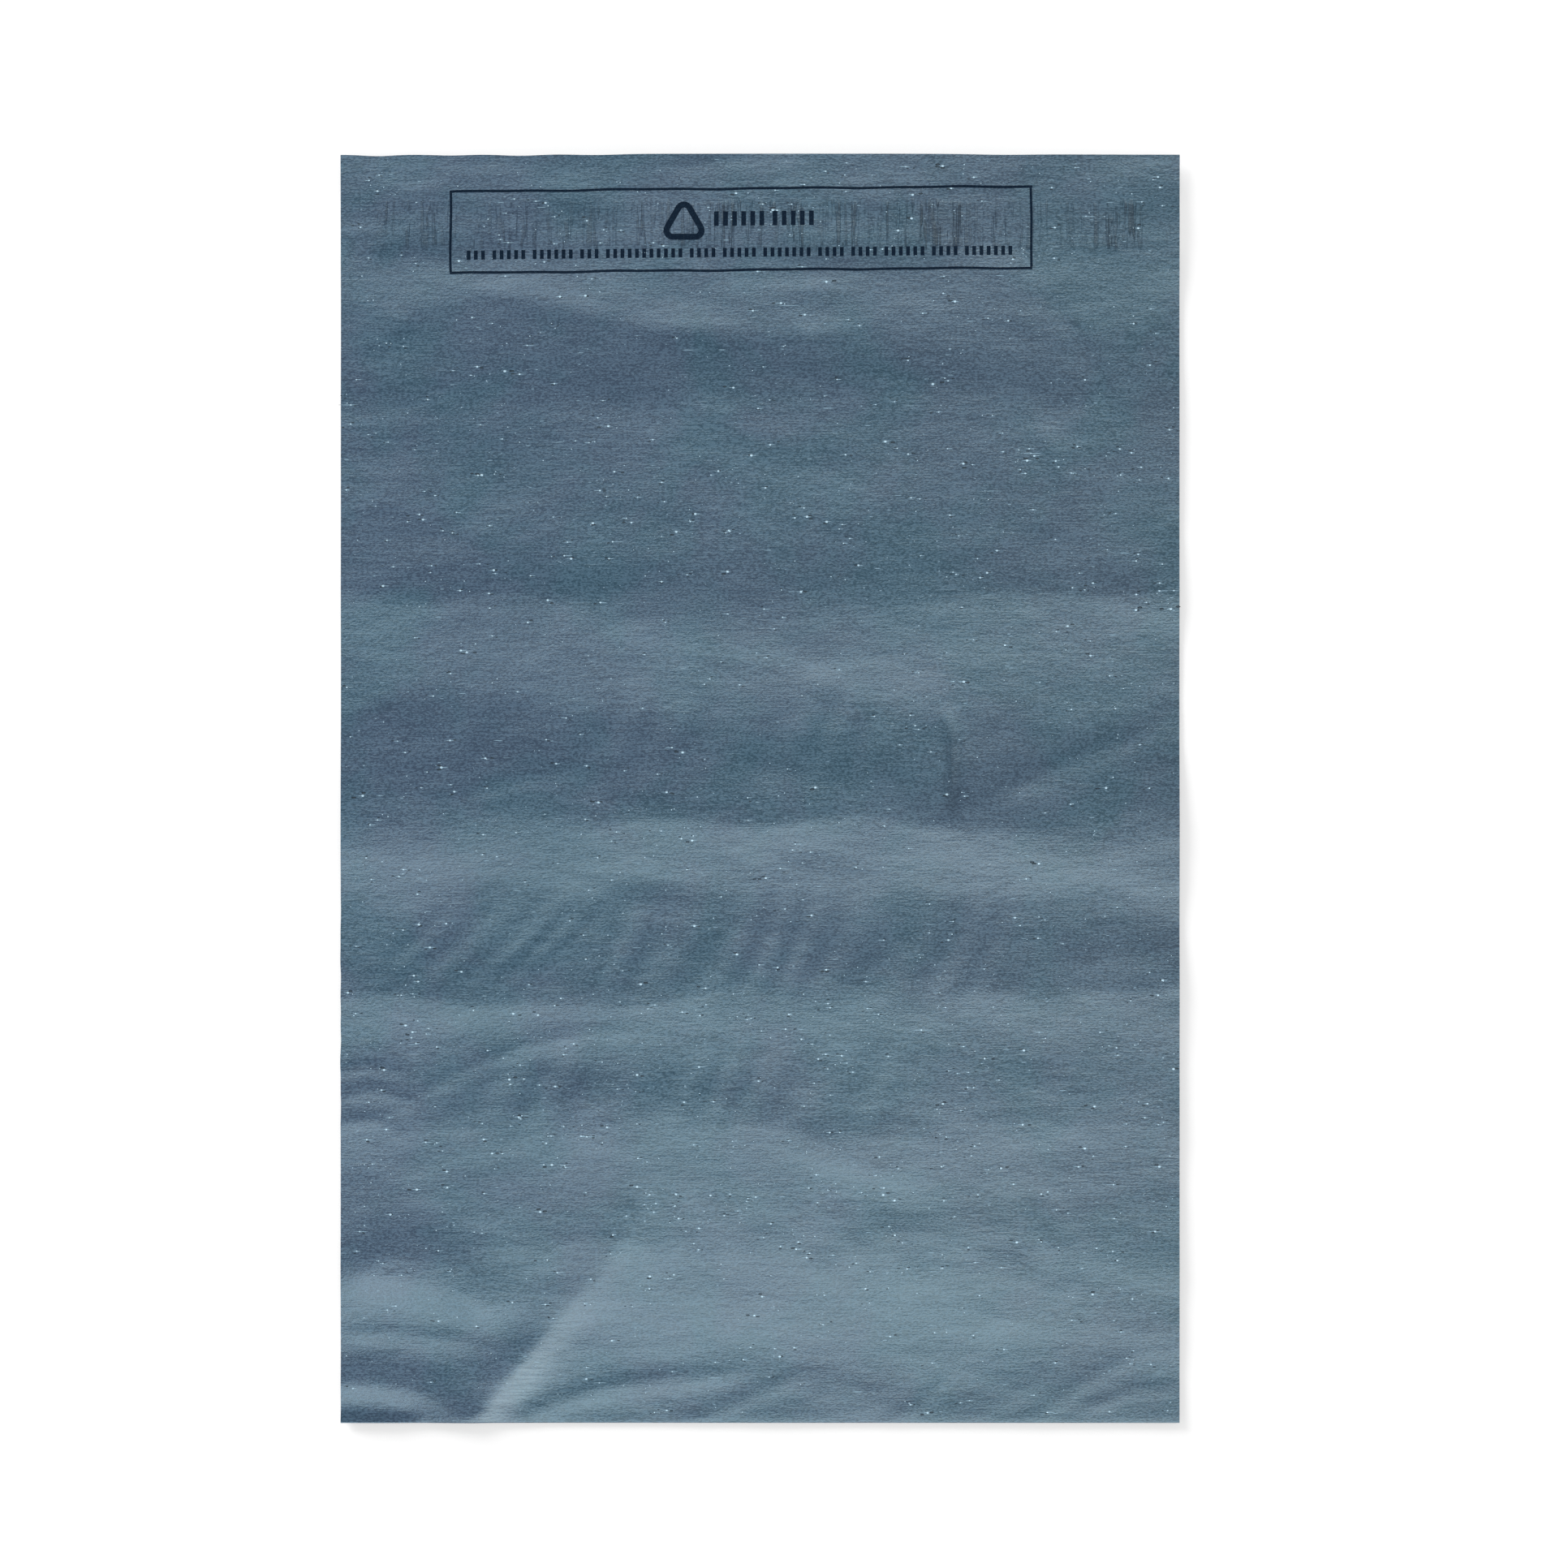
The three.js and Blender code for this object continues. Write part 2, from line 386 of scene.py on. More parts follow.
def along_path(x, y, points):
    """Distance from a path of straight stretches, above zero on its left and below zero on its
    right."""
    nearest = np.full_like(x, 1e9)
    signed = np.zeros_like(x)
    for (x0, y0), (x1, y1) in zip(points[:-1], points[1:]):
        dx, dy = x1 - x0, y1 - y0
        share = np.clip(((x - x0) * dx + (y - y0) * dy) / (dx * dx + dy * dy), 0, 1)
        gap = np.hypot(x - x0 - share * dx, y - y0 - share * dy)
        side = np.where((y - y0) * dx - (x - x0) * dy >= 0, 1, -1)
        signed = np.where(gap < nearest, gap * side, signed)
        nearest = np.minimum(nearest, gap)
    return signed


def curve_through(points, count=24):
    """A smooth path through the points: each coordinate is the lowest polynomial that fits them
    over the share of the length walked so far."""
    points = np.array(points, dtype=float)
    walked = np.concatenate([[0], np.cumsum(np.hypot(*np.diff(points, axis=0).T))])
    walked /= walked[-1]
    place = np.linspace(0, 1, count)
    order = len(points) - 1
    return np.stack([
        np.polyval(np.polyfit(walked, points[:, axis], order), place) for axis in (0, 1)
    ], -1)


def folds(x, y, lines, power):
    """The sum of one ridge per line: e to the power -(distance / reach)^power, with its own reach
    on each side, times a fade towards both of its ends."""
    height = np.zeros_like(x)
    for points, rise, (left, right) in lines:
        path = curve_through(points)
        signed = along_path(x, y, path)
        ends = np.hypot(*(path[-1] - path[0])) / 2
        middle = (path[-1] + path[0]) / 2
        from_middle = np.hypot(x - middle[0], y - middle[1])
        fade = smooth_step((ends + FADE_PAST - from_middle) / (0.5 * ends + FADE_PAST))
        reach = np.where(signed > 0, left, right)
        height += rise * np.exp(-(np.abs(signed) / reach) ** power) * fade
    return height


LEAST_LIFT = 0.02  # the back panel's inner face is at least this far above one film's thickness
SLACK = 0.12  # the panels are never closer than this, so that they can't cross between rows
WELD_RISE = 34  # towards each weld, the front panel comes up to the back one over this width
FOLD_RISE = 26  # and over this length towards the bottom fold,
FOLD_SHARE = 0.8  # where it follows the back panel by this share


def back_inner(x, y):
    """Height of the back panel's inner face: the film below it, the lift of the edges, the crown,
    the rolls, the ripples, the hills and the folds, and never lower than the table."""
    lift = EDGE_LIFT + RIGHT_LIFT * x / HALF_WIDTH
    height = lift + crown(x, y) + rolls(x, y) + ripples(x, y) + uneven(x, y)
    height += folds(x, y, FOLDS, ROUND_CREST) + folds(x, y, CREASES, SHARP_CREST)
    return FILM + np.maximum(height, LEAST_LIFT)


def front_outer(x, y):
    """Height of the front panel's outer face: on the table, except near the welds and the fold,
    where smooth steps tie it to the back panel."""
    side = smooth_step((np.abs(x) - WELD_EDGE) / WELD_RISE + 1)
    fold = FOLD_SHARE * smooth_step((FOLD_Y - y) / FOLD_RISE + 1)
    tied = 1 - (1 - side) * (1 - fold)
    return np.maximum((back_inner(x, y) - FILM) * tied - SLACK, 0)


print(f"{len(RIPPLES)} bands of ripples, {len(FOLDS)} old folds, {len(CREASES)} creases")


# %% [markdown]
# ## The web of film
#
# The film is one sheet, so it is one surface with two parameters. One parameter runs across the
# bag. The other follows the web: from the flap's cut edge down the back panel, round the bottom
# fold as half of a small ellipse, and back along the front panel to the mouth.
#
# The back panel gets close rows, because light on its waves is what the eye reads. The front
# panel lies on the table and needs few, and they are closer together near the fold. A mark at each
# point says whether it is on the back panel, and the finish reads it later.

# %% Draw the web
COLUMNS = 147
BACK_ROWS = 230
NOSE_ROWS = 6
FRONT_ROWS = 90
ROW_GATHER = 1.3  # above 1, the front panel's rows are closer together near the fold
NOSE = 0.45  # how far the bottom fold reaches past the ends of the two panels

# The nicks in the flap's cut edge: place, depth and reach.
NICKS = ((-139, 0.5, 5), (-112, 0.35, 6), (-87, 0.55, 7), (-60, 0.4, 8), (88, 0.25, 9))
NICK_FADE = 12  # a nick moves the film over this length from the cut edge
EDGE_BAND = 0.1  # the left edge's waves move the film over this share of the half width
EDGE_WAVES_Y, EDGE_WAVES_REACH = -82, 26
EDGE_WAVE_DEPTH = 0.09


def cut_edge(x):
    """How far the flap's cut edge is nibbled away: one shallow bell per nick."""
    return sum(depth * bump(x - place, reach) for place, depth, reach in NICKS)


def side_edge(y):
    """How far the left weld's cut edge runs in: three fine waves times a bell a third of the way up."""
    waves = np.sin(y / 1.9) + np.sin(y / 3.7 + 1) + np.sin(y / 6.1 + 2)
    return EDGE_WAVE_DEPTH * waves * bump(y - EDGE_WAVES_Y, EDGE_WAVES_REACH)


def web_grid():
    """Points of the web's outer face, by rows from the flap's cut edge round to the mouth."""
    across = np.linspace(-1, 1, COLUMNS)

    def panel(ys, height):
        x, y = np.meshgrid(across * HALF_WIDTH, ys)
        y = y - cut_edge(x) * smooth_step((y - FLAP_EDGE_Y) / NICK_FADE + 1)
        x = x + side_edge(y) * smooth_step((-across[None, :] - 1) / EDGE_BAND + 1)
        return np.stack([x, y, height(x, y)], -1)

    nose_y = FOLD_Y + NOSE
    back = panel(np.linspace(FLAP_EDGE_Y, nose_y, BACK_ROWS), lambda x, y: back_inner(x, y) + FILM)
    front_ys = nose_y + (MOUTH_Y - nose_y) * np.linspace(0, 1, FRONT_ROWS) ** ROW_GATHER
    front = panel(front_ys, front_outer)
    top, bottom = back[-1], front[0]
    turn = np.linspace(0, math.pi, NOSE_ROWS + 2)[1:-1, None, None]
    middle, half = (top + bottom) / 2, (top - bottom) / 2
    forward = np.array([0, NOSE, 0])
    nose = middle + half * np.cos(turn) - forward * np.sin(turn)
    return np.concatenate([back, nose, front])


web = web_grid()[:, ::-1]
film = sheets_piece("film_web", [(web, web - grid_normals(web) * FILM)])
on_back = np.tile(np.repeat(np.arange(len(web)) < BACK_ROWS, COLUMNS), 2)
mark = film.data.attributes.new("back_panel", "FLOAT", "POINT")
mark.data.foreach_set("value", on_back.astype(np.float32))
print(f"film: {len(film.data.polygons)} faces, up to {web[..., 2].max():.2f} mm high")
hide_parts("film_bag")
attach(film, ROOT)

# %% [markdown]
# ## Finishes as arithmetic
#
# A finish is a small sum worked out at every point of the surface. The class below wraps one
# output of a shader node, so that the sum can be written as Python arithmetic. Adding two of them
# adds a Math node. `node` adds any other kind of node, and the methods after it are short names
# for the kinds that the finishes use most.

# %% Wrap a shader socket


class Signal:
    """One output of a shader node, or with no output, the tree alone. Arithmetic on it adds Math
    nodes to the same tree."""

    def __init__(self, tree, socket=None):
        self.tree, self.socket = tree, socket

    def node(self, kind, settings=(), sockets=(), output=0):
        """Adds a node of a kind, makes its settings, then gives its sockets values or links."""
        made = self.tree.nodes.new(kind)
        for name, value in dict(settings).items():
            setattr(made, name, value)
        for key, value in dict(sockets).items():
            if isinstance(value, Signal):
                self.tree.links.new(value.socket, made.inputs[key])
            else:
                made.inputs[key].default_value = value
        return Signal(self.tree, made.outputs[output])

    def maths(self, operation, *values):
        """A Math node that does this operation on these values."""
        return self.node("ShaderNodeMath", {"operation": operation}, enumerate(values))

    def __add__(self, other):
        return self.maths("ADD", self, other)

    def __sub__(self, other):
        return self.maths("SUBTRACT", self, other)

    def __rsub__(self, other):
        return self.maths("SUBTRACT", other, self)

    def __mul__(self, other):
        return self.maths("MULTIPLY", self, other)

    def __truediv__(self, other):
        return self.maths("DIVIDE", self, other)

    def __rtruediv__(self, other):
        return self.maths("DIVIDE", other, self)

    def __abs__(self):
        return self.maths("ABSOLUTE", self)

    __radd__, __rmul__ = __add__, __mul__

    def step(self, low, high):
        """0 at low, 1 at high, and a smooth step between. High may be below low."""
        return self.node(
            "ShaderNodeMapRange",
            {"interpolation_type": "SMOOTHSTEP"},
            {"Value": self, "From Min": low, "From Max": high},
        )

    def times(self, x, y, z):
        """A vector, each part of it times its own number."""
        return self.node(
            "ShaderNodeVectorMath", {"operation": "MULTIPLY"}, {0: self, 1: (x, y, z)}
        )

    def part(self, axis):
        """One part of a vector: X, Y or Z."""
        return self.node("ShaderNodeSeparateXYZ", (), {0: self}, "XYZ".index(axis))

    def noise(self, scale, detail=2.0, roughness=0.5, distortion=0.0):
        """Cloudy noise from 0 to 1 at these points. Its spots are about 1 / scale across."""
        return self.node("ShaderNodeTexNoise", {"noise_dimensions": "3D"}, {
            "Vector": self, "Scale": scale, "Detail": detail, "Roughness": roughness,
            "Distortion": distortion,
        })

    def blend(self, first, second):
        """The first colour where this is 0, the second where it is 1."""
        return self.node("ShaderNodeMix", {"data_type": "RGBA"}, {0: self, 6: first, 7: second}, 2)

    def tinted(self, colour, share):
        """This colour with a share of another one in it."""
        return self.node("ShaderNodeMix", {"data_type": "RGBA"}, {0: share, 6: self, 7: colour}, 2)


def new_finish(name, **constants):
    """A material with one Principled shader whose fixed numbers are set on its own sockets."""
    material = bpy.data.materials.new(name)
    material.use_nodes = True
    shader = next(n for n in material.node_tree.nodes if n.type == "BSDF_PRINCIPLED")
    for socket, value in constants.items():
        shader.inputs[socket.replace("_", " ")].default_value = value
    return material, shader


def feed(shader, **signals):
    """Links signals to the shader's sockets."""
    for socket, signal in signals.items():
        signal.tree.links.new(signal.socket, shader.inputs[socket.replace("_", " ")])


def places(material):
    """The object's own coordinates, in millimetres."""
    coordinates = Signal(material.node_tree).node("ShaderNodeTexCoord", output=3)
    return coordinates.times(1 / MM, 1 / MM, 1 / MM)


# %% [markdown]
# ## The film's finish
#
# Recycled polyethylene is a cloudy blue-grey. Blowing the film draws everything in it out
# sideways, so its grain runs across the bag as short streaks. Wide patches lean a little to green
# or to violet, and the left side is a little bluer than the right. The skin is satin, smooth
# enough to carry a broad sheen.
#
# A scan of real film would show one bag at one size, so the colour is mixed from noise at four
# scales instead: a fine mottle, streaks, wide clouds and still wider patches.

# %% Mix the film's colour
DEEP_FILM = (0.010, 0.026, 0.050, 1)
PALE_FILM = (0.080, 0.126, 0.180, 1)
LEFT_GREEN = (0.024, 0.071, 0.104, 1)
LEFT_VIOLET = (0.046, 0.067, 0.111, 1)
RIGHT_GREEN = (0.030, 0.073, 0.093, 1)
RIGHT_GREY = (0.048, 0.070, 0.097, 1)
GRAIN_CONTRAST, CLOUD_CONTRAST = 5.5, 0.6
TINT_SHARE = 0.5

film_finish, film_shader = new_finish("grey_film", Specular_IOR_Level=0.5, IOR=1.5)
at = places(film_finish)
x_at, y_at = at.part("X"), at.part("Y")

mottle = at.times(0.95, 1.75, 1).noise(1.0, 1.5, 0.6)
streaks = at.times(0.09, 2.1, 0.5).noise(0.9, 3, 0.62)
patches = at.noise(0.019, 4, 0.6, 0.4)
clouds = at.times(0.6, 1, 1).noise(0.05, 3, 0.6)

grain = mottle * 0.7 + streaks * 0.3
body = (grain - 0.5) * GRAIN_CONTRAST + (clouds - 0.5) * CLOUD_CONTRAST + 0.5
colour = body.step(0, 1).blend(DEEP_FILM, PALE_FILM)
lean = (patches + y_at * 0.0001).step(0.38, 0.60)
tint = (x_at - y_at * 0.2).step(-190, 210).blend(
    lean.blend(LEFT_GREEN, LEFT_VIOLET), lean.blend(RIGHT_GREEN, RIGHT_GREY)
)
film_colour = colour.tinted(tint, TINT_SHARE)
print(f"film colour: {len(film_finish.node_tree.nodes)} nodes")

# %% [markdown]
# Under the flap the hot melt has shrunk, and it puckers the film into a band of fine crinkles that
# run up and down. Each is too narrow for the mesh, so it is a groove in the bump, and the shade
# in it is painted as a dark stroke in the colour. The strokes are noise stretched along the bag,
# and they come in bunches.

# %% Pucker the film over the adhesive
# The next colour is painted shade: the dark of the shade down in the crinkles.
PUCKER_SHADE = (0.008, 0.016, 0.028, 1)
PUCKER_SHADE_STRENGTH = 0.52
PUCKER_END = 143  # the puckers end this far to each side of the middle
PUCKER_FADE = 9  # and they fade over this length before it

glue_middle = float(glue_low[1] + glue_high[1]) / 2
glue_half = float(glue_high[1] - glue_low[1]) / 2
uneven_end = at.times(1, 0, 0).noise(0.6, 2, 0.7)
from_glue = abs(y_at - glue_middle) / glue_half
in_band = (from_glue + uneven_end * 0.7 - 0.35).step(1.2, 0.85)
inside = abs(x_at).step(PUCKER_END, PUCKER_END - PUCKER_FADE)
strokes = at.times(1, 0.06, 0).noise(0.62, 2, 0.7, 0.6).step(0.51, 0.62)
bunches = at.times(1, 0.12, 0).noise(0.10, 3, 0.6)
bunched = (bunches + x_at * 0.0004).step(0.42, 0.58)
thick = (bunches + x_at * 0.0007).step(0.56, 0.68)
crinkle = (strokes * (bunched * 0.60 + 0.45) + thick * 0.4) * in_band * inside
print(f"puckers: a band {2 * glue_half:.0f} mm wide about y = {glue_middle:.0f} mm")

# %% [markdown]
# Two marks are on the back panel only, so they are multiplied by its mark in the mesh. Right of
# the middle the film is pinched into a groove, and its shade is painted as one short dark line. At
# the bottom left a highlight is painted pale, in streaks, on the right side of the sharpest crease.

# %% Paint the shade along the pinch, and a highlight beside the sharpest crease
PINCH_X, PINCH_LOW, PINCH_HIGH = 71.5, -13, 30
PINCH_REACH = 4.6
PINCH_SWAY = 3.0
PINCH_SHADE_STRENGTH = 0.26
# The next colour is a painted highlight: the pale sheen on the lit side of the sharpest crease.
CREASE_HIGHLIGHT = (0.21, 0.25, 0.28, 1)
CREASE_HIGHLIGHT_STRENGTH = 0.45
CREASE_HIGHLIGHT_WIDTH, CREASE_HIGHLIGHT_LENGTH = 15, 75
CREASE_FOOT = (-105, -231)
CREASE_ANGLE = math.atan2(70, 55)  # it climbs 70 mm for each 55 mm to the right

back_panel = Signal(at.tree).node("ShaderNodeAttribute", {"attribute_name": "back_panel"}, output=2)
sway = at.times(0.02, 0.12, 0.1).noise(1, 2, 0.6)
# Painted shade: a short dark line along the pinch's groove.
near_pinch = abs(x_at + sway * PINCH_SWAY - PINCH_X).step(PINCH_REACH, 0.3)
pinch_shade = near_pinch * y_at.step(PINCH_LOW, PINCH_LOW + 8) * y_at.step(PINCH_HIGH, PINCH_HIGH - 18)
# Painted shade: dark strokes in the puckers, and one short dark line along the pinch.
painted_shade_lines = (
    crinkle * PUCKER_SHADE_STRENGTH + pinch_shade * streaks.step(0.1, 0.6) * back_panel * PINCH_SHADE_STRENGTH
)

right_of_foot, above_foot = x_at - CREASE_FOOT[0], y_at - CREASE_FOOT[1]
along_crease = right_of_foot * math.cos(CREASE_ANGLE) + above_foot * math.sin(CREASE_ANGLE)
off_crease = right_of_foot * math.sin(CREASE_ANGLE) - above_foot * math.cos(CREASE_ANGLE)
beside = off_crease.step(-0.5, 3) * off_crease.step(CREASE_HIGHLIGHT_WIDTH, 5) * along_crease.step(CREASE_HIGHLIGHT_LENGTH, 20)
# Painted highlight: pale streaks on the right side of the sharpest crease.
painted_highlight = beside * streaks.step(0.25, 0.7) * back_panel
# The film's colour, with the painted shade and the painted highlight blended in.
colour_and_painted_light = (painted_highlight * CREASE_HIGHLIGHT_STRENGTH).blend(painted_shade_lines.blend(film_colour, PUCKER_SHADE), CREASE_HIGHLIGHT)
feed(film_shader, Base_Color=colour_and_painted_light)
print(f"the rubbed stripe climbs at {math.degrees(CREASE_ANGLE):.0f} degrees")

# %% [markdown]
# The grain can be felt as well as seen, so the same noise raises the surface. Long faint wisps
# are added to it, and the puckers are pressed in. Where the grain is raised the film is also a
# little rougher.

# %% Raise its grain
WISP_HEIGHT, GRAIN_HEIGHT, PUCKER_DEPTH = 0.22, 0.13, 0.16
MEAN_ROUGHNESS = 0.34
ROUGHNESS_VARIES = 0.25

wisps = at.times(0.09, 0.2, 0.1).noise(1, 3, 0.6)
relief = streaks * 0.4 + mottle * 0.6
height = relief * GRAIN_HEIGHT + wisps * WISP_HEIGHT - crinkle * PUCKER_DEPTH
bumps = height.node("ShaderNodeBump", (), {"Strength": 1.0, "Distance": MM, "Height": height})
feed(film_shader, Normal=bumps, Roughness=(grain - 0.5) * ROUGHNESS_VARIES + MEAN_ROUGHNESS)
film.data.materials.append(film_finish)
print(f"film finish: {len(film_finish.node_tree.nodes)} nodes")

# %% [markdown]
# ## The print
#
# One dark ink is printed on the back panel: a thin frame, a rounded triangle inside it, and two
# rows of plain blocks where words would be. Ink could be a field of colour in the film's finish.
# Here it is a thin skin that follows the film a hair above it, so its edges stay crisp at any
# distance.

# %% Print on the film
INK = 0.02  # thickness of the skin
INK_GAP = 0.045  # and its height above the film
FULL_INK = (0.0030, 0.0085, 0.0190, 1)
WORN_INK = (0.012, 0.026, 0.044, 1)

ink_finish, ink_shader = new_finish("dark_ink", Roughness=0.5, Specular_IOR_Level=0.04)
worn = places(ink_finish).noise(1.4, 3, 0.65).step(0.45, 0.85)
feed(ink_shader, Base_Color=worn.blend(FULL_INK, WORN_INK))


def film_top(x, y):
    """Height of the back panel's outer face: its inner face and one film."""
    return back_inner(x, y) + FILM


def inked(path, width):
    """Outer and inner grids of a line of ink: each point of the path, moved by half the width
    to both sides along the path's own normal, a hair above the film."""
    along = np.gradient(path, axis=0)
    along /= np.linalg.norm(along, axis=1, keepdims=True)
    side = np.stack([-along[:, 1], along[:, 0]], -1)
    flat = path[:, None] + np.linspace(0.5, -0.5, 3)[None, :, None] * width * side[:, None]
    x, y = flat[..., 0], flat[..., 1]
    top = film_top(x, y) + INK_GAP + INK
    return np.stack([x, y, top], -1), np.stack([x, y, top - INK], -1)


def straight(start, end, sway=0.0, spacing=1.5):
    """Points from start to end, swayed to one side by two slow waves of the length walked."""
    start, end = np.array(start, float), np.array(end, float)
    length = np.linalg.norm(end - start)
    walked = np.linspace(0, length, max(2, int(length / spacing) + 1))[:, None]
    along = (end - start) / length
    side = np.array([-along[1], along[0]])
    wave = 0.6 * np.sin(walked / 9.0 + start[0]) + 0.4 * np.sin(walked / 4.1)
    return start + walked * along + sway * wave * side


def print_piece(name, lines):
    """One piece of ink from several lines."""
    piece = sheets_piece(name, lines)
    piece.data.materials.append(ink_finish)
    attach(piece, ROOT)
    print(f"{name}: {len(lines)} marks")


# %% [markdown]
# The frame could be one closed line, but a press leaves its corners square. So it is four lines
# that butt together, a little out of square with the bag, and each sways a little with the film.

# %% Print the frame
FRAME_LEFT, FRAME_RIGHT = -112.4, 98.5
FRAME_LOW, FRAME_HIGH = 187.5, 217.0  # at the left; the print is a little out of square
SKEW = 1.8 / 210.9
LINE = 0.9
FRAME_SWAY = 0.22  # how far the frame's lines stray from straight


def skewed(x, y):
    """A place on the print, which climbs by SKEW for each mm to the right."""
    return x, y + SKEW * (x - FRAME_LEFT)


half_line = LINE / 2
print_piece("printed_frame", [
    inked(straight(skewed(x0, y0), skewed(x1, y1), sway=FRAME_SWAY), LINE)
    for x0, y0, x1, y1 in (
        (FRAME_LEFT - half_line, FRAME_HIGH, FRAME_RIGHT + half_line, FRAME_HIGH),
        (FRAME_LEFT - half_line, FRAME_LOW, FRAME_RIGHT + half_line, FRAME_LOW),
        (FRAME_LEFT, FRAME_LOW + half_line, FRAME_LEFT, FRAME_HIGH - half_line),
        (FRAME_RIGHT, FRAME_LOW + half_line, FRAME_RIGHT, FRAME_HIGH - half_line),
    )
])

# %% [markdown]
# Three lines that meet would leave sharp corners. The triangle is one path all the way round, with
# an arc at each corner.

# %% Print the triangle
TRIANGLE = np.array([-27.6, 205.1])  # its middle
TRIANGLE_REACH = 9.3  # from the middle to where a sharp corner would be, at the middle of the line
BEND = 2.3  # radius of the corners
TRIANGLE_LINE = 2.2
HALF_GAP = 0.02  # half the gap between the line's two ends


def triangle_path():
    """Once round a triangle from the middle of its foot. Each corner is an arc of 120 degrees
    about a point BEND inside both of its sides."""
    foot = TRIANGLE - (0, TRIANGLE_REACH / 2)
    path = [foot + (HALF_GAP, 0)]
    for corner in np.radians((-30, 90, 210)):
        outwards = np.array([math.cos(corner), math.sin(corner)])
        middle = TRIANGLE + (TRIANGLE_REACH - 2 * BEND) * outwards
        angle = corner + np.radians(np.linspace(-60, 60, 13))
        path.extend(middle + BEND * np.stack([np.cos(angle), np.sin(angle)], -1))
    return np.array(path + [foot - (HALF_GAP, 0)])


print_piece("printed_triangle", [inked(triangle_path(), TRIANGLE_LINE)])

# %% [markdown]
# Words would be letters. Here they are plain upright blocks in groups, which have the weight of
# print and say nothing.

# %% Print two rows of plain blocks
# Each row: where it starts, its middle, and its blocks' height, width and gap. Then the number of
# blocks in each group.
ROWS = (
    (-16.7, 206.2, 5.2, 1.7, 1.6, (6, 5)),
    (-106.6, 193.9, 3.3, 1.35, 1.28, (3, 5, 6, 3, 11, 4, 5, 7, 4, 4, 6, 4, 7)),
)
GROUP_GAP = 1.5
for number, (left, middle, tall, wide, gap, groups) in enumerate(ROWS):
    blocks = []
    for group in groups:
        for _ in range(group):
            foot = (left + wide / 2, middle - tall / 2 + SKEW * (left - FRAME_LEFT))
            head = (foot[0], foot[1] + tall)
            blocks.append(inked(straight(foot, head, spacing=1.2), wide))
            left += wide + gap
        left += GROUP_GAP
    print_piece(f"printed_row_{number + 1}", blocks)
    print(f"the row ends at x = {left:.1f} mm")

# %% [markdown]
# ## Gels
#
# Recycled film is full of gels: specks of plastic that never melted. The web is stretched round
# them as it is blown, so the biggest have a tail to each side, and other tails lie free. Beside a
# gel a dark spot of shade is painted.
#
# A speck of noise in the finish would be flat and would blur. Real domes catch the light one by
# one, so each is a low dome with a few faces, sunk a little into the film. Tails are long narrow
# domes, and the painted shade beside a gel is a dark flat one.

# %% Shape a dome
RING = 6  # points round a dome
FOOT_LIFT = -0.03  # share of the rise: the lower ring is just inside the film
SHOULDER, SHOULDER_LIFT = 0.62, 0.6  # the upper ring's share of the reach and of the rise
SUNK = 0.03  # the point below is this far inside the film


def domes(name, x, y, half_length, half_width, rise, finish):
    """Low domes. Each has a ring of points at its foot, a smaller ring at its shoulder, a point on
    top and a point in the film below it. Each ring is an ellipse about the dome's middle."""
    angle = np.linspace(0, 2 * math.pi, RING + 1)[:-1]
    turn = np.concatenate([angle, angle, [0.0]])
    ring = np.concatenate([np.ones(RING), np.full(RING, SHOULDER), [0.0]])
    lift = np.concatenate([np.full(RING, FOOT_LIFT), np.full(RING, SHOULDER_LIFT), [1.0]])
    px = x[:, None] + half_length[:, None] * (ring * np.cos(turn))[None, :]
    py = y[:, None] + half_width[:, None] * (ring * np.sin(turn))[None, :]
    pz = film_top(px, py) + rise[:, None] * lift[None, :]
    below = np.stack([x, y, film_top(x, y) - SUNK], -1)[:, None, :]
    points = np.concatenate([np.stack([px, py, pz], -1), below], 1)

    i, j = np.arange(RING), np.roll(np.arange(RING), -1)
    top, bottom = np.full(RING, 2 * RING), np.full(RING, 2 * RING + 1)
    sides = np.stack([i, j, j + RING, i + RING], -1)
    tips = np.concatenate([np.stack([i + RING, j + RING, top], -1), np.stack([j, i, bottom], -1)])
    start = points.shape[1] * np.arange(len(x))[:, None, None]
    faces = (sides + start).reshape(-1, 4).tolist() + (tips + start).reshape(-1, 3).tolist()
    piece = make_piece(name, points.reshape(-1, 3), faces, smooth_below=180)
    piece.data.materials.append(finish)
    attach(piece, ROOT)
    print(f"{name}: {len(x)} domes")


# %% [markdown]
# An even random spread would look like sand. Real gels are denser in some stretches of the web and
# come in small bunches. So places are drawn evenly, then some are dropped by a chance that changes
# along the bag, and some are moved to a neighbour.

# %% Scatter places for them
GEL_SIDE = HALF_WIDTH - 2
GEL_LOW, GEL_HIGH = FOLD_Y + 3, FLAP_EDGE_Y - 2
EVEN_CHANCE, HIGHEST_DRAW = 0.6, 1.4  # a place is kept if a random draw is below its chance
THICK_BANDS = ((112, 26, 0.3), (-118, 45, 0.45), (215, 12, 0.2))  # middle, reach and extra chance
rng = np.random.default_rng(20)


